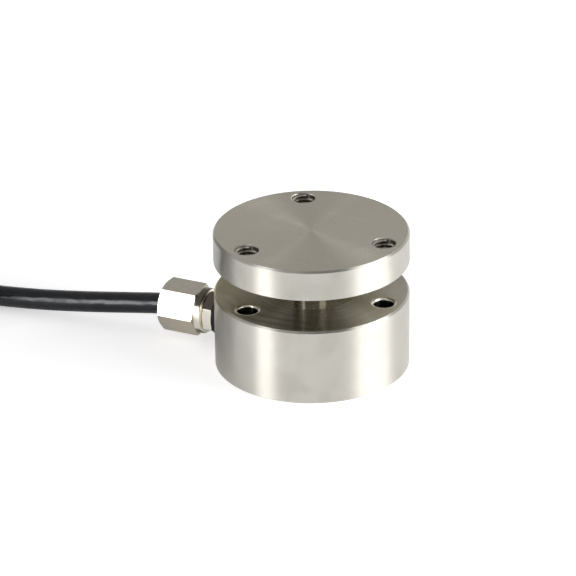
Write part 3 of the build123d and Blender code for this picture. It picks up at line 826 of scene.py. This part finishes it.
class LOADCELL_OT_camera(Operator):
    """Sets the camera where the photograph was taken from"""

    bl_idname = "loadcell.camera"
    bl_label = "Camera"

    def execute(self, context):
        studio = context.scene.load_cell_studio
        data = bpy.data.cameras.new("camera")
        data.lens = studio.lens
        data.sensor_width = 36.0
        data.clip_start = 0.01
        data.clip_end = 50.0
        camera = new_object("camera", data)
        turned = Matrix.Rotation(studio.heading, 4, "Z") @ Matrix.Rotation(studio.tilt, 4, "X")
        camera.matrix_world = (Matrix.Translation(studio.place) @ turned
                               @ Matrix.Rotation(studio.roll, 4, "Z"))
        context.scene.camera = camera
        return {"FINISHED"}


class LOADCELL_OT_cable(Operator):
    """Lays the cable from the gland to its coil and on to its stripped end"""

    bl_idname = "loadcell.cable"
    bl_label = "Cable"

    def execute(self, context):
        sizes = context.scene.load_cell_cable
        route = mm(LEAD_ROUTE) + coil_points(sizes) + mm(TAIL_ROUTE)
        jacket = jacket_finish("Cable jacket", context.scene.load_cell_colours.jacket)
        cable = nurbs("cable", route, sizes.diameter, sides=8)
        dress(cable, jacket, ("cable_lead", "cable_coil", "cable_tail"))
        finish_nodes(jacket, "cable_entry")
        return {"FINISHED"}


class LOADCELL_OT_stripped_end(Operator):
    """Makes the shrunk sleeve, the four conductors, the shield and their bare tips"""

    bl_idname = "loadcell.stripped_end"
    bl_label = "Stripped end"

    def execute(self, context):
        sizes = context.scene.load_cell_cable
        tinned = plain_finish("Tinned wire", slot_colour("tinned_wire"), (0.25, 0.4), metallic=1.0)
        pieces = [self.sleeve(sizes.diameter / 2)]
        tips, faces = [], []
        for name, route in WIRE_ROUTES.items():
            points = mm(route)
            if name == "shield_wire":
                strands = stranded(path_of(points), sizes.wire / 2, 9, SHIELD_LAY)
                shield = new_mesh("shield_strands", *strands)
                pieces.append(dress(shield, tinned, (name,)))
                continue
            wire = nurbs(name + "_wire", points, sizes.wire, sides=5, resolution=8)
            label = name.replace("_", " ").capitalize()
            finish = plain_finish(label, slot_colour(name), (0.28, 0.4))
            pieces.append(dress(wire, finish, (name,)))
            run = (points[-1] - points[-2]).normalized()
            path = [points[-1] + run * (TIP_LENGTH * i / 24 - TIP_START) for i in range(25)]
            more, more_faces = stranded(path, TIP_RADIUS, 6, TIP_LAY)
            faces += [[i + len(tips) for i in face] for face in more_faces]
            tips += more
        bare = new_mesh("bare_tips", tips, faces)
        pieces.append(dress(bare, tinned, ("core_tips",)))
        return {"FINISHED"}

    def sleeve(self, radius):
        """The sleeve over the jacket's end: wide on the jacket, drawn in round the wires."""
        before, tip = mm(TAIL_ROUTE[-2:])
        outer = radius + 0.00035
        inner = radius - 0.0001
        profile = [(-0.0060, inner), (-0.0060, outer - 0.00012), (-0.0058, outer),
                   (-0.0044, outer - 0.00004), (-0.0020, outer), (-0.0003, outer - 0.00003),
                   (0.0006, outer - 0.0002), (0.0016, 0.00268), (0.0032, 0.00232), (0.0048, 0.00222),
                   (0.0057, 0.00218), (0.0060, 0.00205), (0.0060, 0.0008)]
        piece = lathe("end_sleeve_shrunk", profile, tip, (tip - before).normalized(), wobble=0.006)
        finish = plain_finish("Shrunk sleeve", slot_colour("shrink_sleeve"), (0.5, 0.62), COARSE_GRAIN)
        return dress(piece, finish, ("end_sleeve",))


class LOADCELL_OT_threads(Operator):
    """Cuts the look of M6 threads into the holes of both faces"""

    bl_idname = "loadcell.threads"
    bl_label = "Threads"

    def execute(self, context):
        sizes = context.scene.load_cell_threads
        steel = thread_finish("Cut threads", context.scene.load_cell_colours.steel)
        tree = thread_tree()
        spans = {"top_threads": (sizes.top_low, sizes.top_high),
                 "lower_threads": (sizes.lower_low, sizes.lower_high)}
        for name, (low, high) in spans.items():
            values = {"Major": sizes.major, "Minor": sizes.minor, "Pitch": sizes.pitch, "Low": low,
                      "High": high, "Circle": sizes.circle, "Count": sizes.count, "Material": steel}
            carrier = new_object(name, bpy.data.meshes.new(name))
            dress(baked(carrier, tree, values), steel)
        return {"FINISHED"}


class LOADCELL_OT_body(Operator):
    """Finishes the sensing element and the cover plate as turned steel"""

    bl_idname = "loadcell.body"
    bl_label = "Body"

    def execute(self, context):
        steel = context.scene.load_cell_colours.steel
        finish_nodes(steel_finish("Turned steel", steel), "sensing_element")
        finish_nodes(steel_finish("Cover plate", slot_colour("cover_steel"), 0.6), "bottom_cover")
        return {"FINISHED"}


class LOADCELL_OT_gland(Operator):
    """Finishes the cable gland, its rings and its seal"""

    bl_idname = "loadcell.gland"
    bl_label = "Cable gland"

    def execute(self, context):
        colours = context.scene.load_cell_colours
        plated = plated_finish("Plated brass", colours.brass)
        rubber = plain_finish("Seal rubber", colours.rubber, (0.5, 0.7), COARSE_GRAIN, gloss=0.15)
        finish_nodes(plated, "gland_body", "gland_nut", "gland_clamp_ring")
        finish_nodes(rubber, "gland_seal", "gland_grommet", "cover_gasket")
        return {"FINISHED"}


class LOADCELL_OT_ties(Operator):
    """Finishes the two ties round the coil"""

    bl_idname = "loadcell.ties"
    bl_label = "Coil ties"

    def execute(self, context):
        nylon = context.scene.load_cell_colours.nylon
        finish_nodes(plain_finish("Natural nylon", nylon, (0.35, 0.5), 0.00002), *COIL_TIES)
        return {"FINISHED"}


class LOADCELL_OT_inner_parts(Operator):
    """Finishes what is sealed inside: board, gauges, resistors, fine wires and conductors"""

    bl_idname = "loadcell.inner_parts"
    bl_label = "Inner parts"

    def execute(self, context):
        made = {"gauge_foil": gauge_finish("Gauge foil", slot_colour("gauge_foil")),
                "board_laminate": board_finish("Board laminate", slot_colour("board_laminate"))}
        inner = ("terminal", "strain", "gauge", "span", "zero", "temperature", "inner")
        for part in frame["record"]["subparts"]:
            name, slot = part["node"], part["material_slot"]
            if not name.startswith(inner):
                continue
            if slot not in made:
                metallic = 1.0 if slot == "tinned_wire" else 0.0
                made[slot] = plain_finish("Inner " + slot.replace("_", " "), slot_colour(slot),
                                          (0.35, 0.55), metallic=metallic, size=900.0)
            finish_nodes(made[slot], name)
        return {"FINISHED"}


def direction(azimuth, elevation):
    """A direction from the cell: azimuth from the camera's side towards its right, in degrees."""
    camera = bpy.context.scene.load_cell_studio.place
    base = Vector((camera[0], camera[1], 0)).normalized()
    level = Matrix.Rotation(radians(azimuth), 4, "Z") @ base
    return level * cos(radians(elevation)) + Vector((0, 0, sin(radians(elevation))))


def softbox(name, azimuth, elevation, width, height, power):
    """A rectangular lamp that faces the cell from a direction."""
    data = bpy.data.lights.new(name, "AREA")
    data.shape = "RECTANGLE"
    data.size = width
    data.size_y = height
    data.energy = power
    lamp = new_object(name, data)
    away = direction(azimuth, elevation)
    lamp.location = Vector(LAMP_AIM) + away * LAMP_DISTANCE
    lamp.rotation_euler = away.to_track_quat("Z", "Y").to_euler()


class LOADCELL_OT_stage(Operator):
    """Makes the pale floor, the surroundings and the lamps"""

    bl_idname = "loadcell.stage"
    bl_label = "Stage"

    def execute(self, context):
        studio = context.scene.load_cell_studio
        self.floor(context.scene.load_cell_colours.floor)
        self.surroundings(studio.sky)
        softbox("left_softbox", -54, 15, 0.30, 0.50, 2.7 * studio.lamps)
        softbox("right_softbox", 74, 21, 0.76, 0.6, 7.0 * studio.lamps)
        context.scene.view_settings.view_transform = "Standard"
        return {"FINISHED"}

    def floor(self, colour):
        """A large floor that the camera sees as white, with the cell's soft shadow on it."""
        corners = [(x * FLOOR_REACH, y * FLOOR_REACH, FLOOR_HEIGHT)
                   for x, y in ((-1, -1), (1, -1), (1, 1), (-1, 1))]
        floor = new_mesh("floor", corners, [(0, 1, 2, 3)])
        material = bpy.data.materials.new("Studio floor")
        material.use_nodes = True
        tree = material.node_tree
        tree.nodes.clear()
        out = add(tree, "ShaderNodeOutputMaterial")
        lit = add(tree, "ShaderNodeBsdfDiffuse")
        lit.inputs["Color"].default_value = (*colour, 1.0)
        glow = add(tree, "ShaderNodeEmission")
        rays = add(tree, "ShaderNodeLightPath").outputs
        place = object_place(tree)
        direct = math_node(tree, "MAXIMUM", rays["Is Camera Ray"], rays["Is Transmission Ray"])
        seen = product(tree, direct, ramp(tree, parted(tree, place)[1], -0.004, 0.030, 0.542, 0.63))
        # Metal mirrors a darker floor round the gland: painted shade under the gland, seen only in
        # reflections
        from_gland = distance(tree, place, (-0.050, 0.012, 0.0))
        mirrored_with_painted_shade = product(tree, rays["Is Glossy Ray"], ramp(tree, from_gland, 0.012, 0.080, 0.12, 0.66))
        feed(tree, glow.inputs["Strength"], math_node(tree, "MAXIMUM", seen, mirrored_with_painted_shade))
        both = add(tree, "ShaderNodeAddShader")
        feed(tree, both.inputs[0], lit.outputs[0])
        feed(tree, both.inputs[1], glow.outputs[0])
        feed(tree, out.inputs["Surface"], both.outputs[0])
        floor.data.materials.append(material)

    def surroundings(self, strength):
        """Light from all round: white to the camera, darker above and in two broad patches."""
        world = bpy.data.worlds.new("Studio surroundings")
        bpy.context.scene.world = world
        world.use_nodes = True
        tree = world.node_tree
        tree.nodes.clear()
        out = add(tree, "ShaderNodeOutputWorld")
        glow = add(tree, "ShaderNodeBackground")
        place = add(tree, "ShaderNodeTexCoord").outputs["Generated"]
        height = parted(tree, place)[2]
        grey = product(tree, ramp(tree, height, 0.0, 0.36, 1.46, 0.60),
                       ramp(tree, height, 0.4, 0.9, 1.0, 0.85))
        patches = ((direction(-130, 0), 0.84, 0.975, 0.06), (direction(38, 58), 0.84, 0.93, 0.15))
        for middle, start, full, left in patches:
            toward = add(tree, "ShaderNodeVectorMath", operation="DOT_PRODUCT")
            feed(tree, toward.inputs[0], place)
            feed(tree, toward.inputs[1], middle)
            grey = product(tree, grey, ramp(tree, toward.outputs["Value"], start, full, 1.0, left))
        camera_ray = add(tree, "ShaderNodeLightPath").outputs["Is Camera Ray"]
        feed(tree, glow.inputs["Strength"], mixed(tree, camera_ray, product(tree, grey, strength), 1.0))
        feed(tree, out.inputs["Surface"], glow.outputs[0])


class LOADCELL_PT_panel(Panel):
    """Sidebar panel that lists the load cell's pieces and sizes"""

    bl_idname = "LOADCELL_PT_panel"
    bl_label = "Load cell"
    bl_space_type = "VIEW_3D"
    bl_region_type = "UI"
    bl_category = "Load cell"

    def draw(self, context):
        layout = self.layout
        for operator in OPERATORS:
            layout.operator(operator.bl_idname)
        for name in SETTINGS:
            group = getattr(context.scene, name)
            box = layout.box()
            for item in group.__annotations__:
                box.prop(group, item)


OPERATORS = (LOADCELL_OT_camera, LOADCELL_OT_cable, LOADCELL_OT_ties, LOADCELL_OT_stripped_end,
             LOADCELL_OT_body, LOADCELL_OT_threads, LOADCELL_OT_gland, LOADCELL_OT_inner_parts,
             LOADCELL_OT_stage)
SETTINGS = {"load_cell_threads": LoadCellThreads, "load_cell_cable": LoadCellCable,
            "load_cell_colours": LoadCellColours, "load_cell_studio": LoadCellStudio}


def register():
    for group in SETTINGS.values():
        bpy.utils.register_class(group)
    for name, group in SETTINGS.items():
        setattr(bpy.types.Scene, name, PointerProperty(type=group))
    for operator in OPERATORS:
        bpy.utils.register_class(operator)
    bpy.utils.register_class(LOADCELL_PT_panel)


def unregister():
    bpy.utils.unregister_class(LOADCELL_PT_panel)
    for operator in reversed(OPERATORS):
        bpy.utils.unregister_class(operator)
    for name in SETTINGS:
        delattr(bpy.types.Scene, name)
    for group in reversed(SETTINGS.values()):
        bpy.utils.unregister_class(group)


def main():
    """Makes every piece in order."""
    register()
    for step in ("camera", "cable", "ties", "stripped_end", "body", "threads", "gland", "inner_parts",
                 "stage"):
        getattr(bpy.ops.loadcell, step)()


if __name__ == "__main__":
    main()
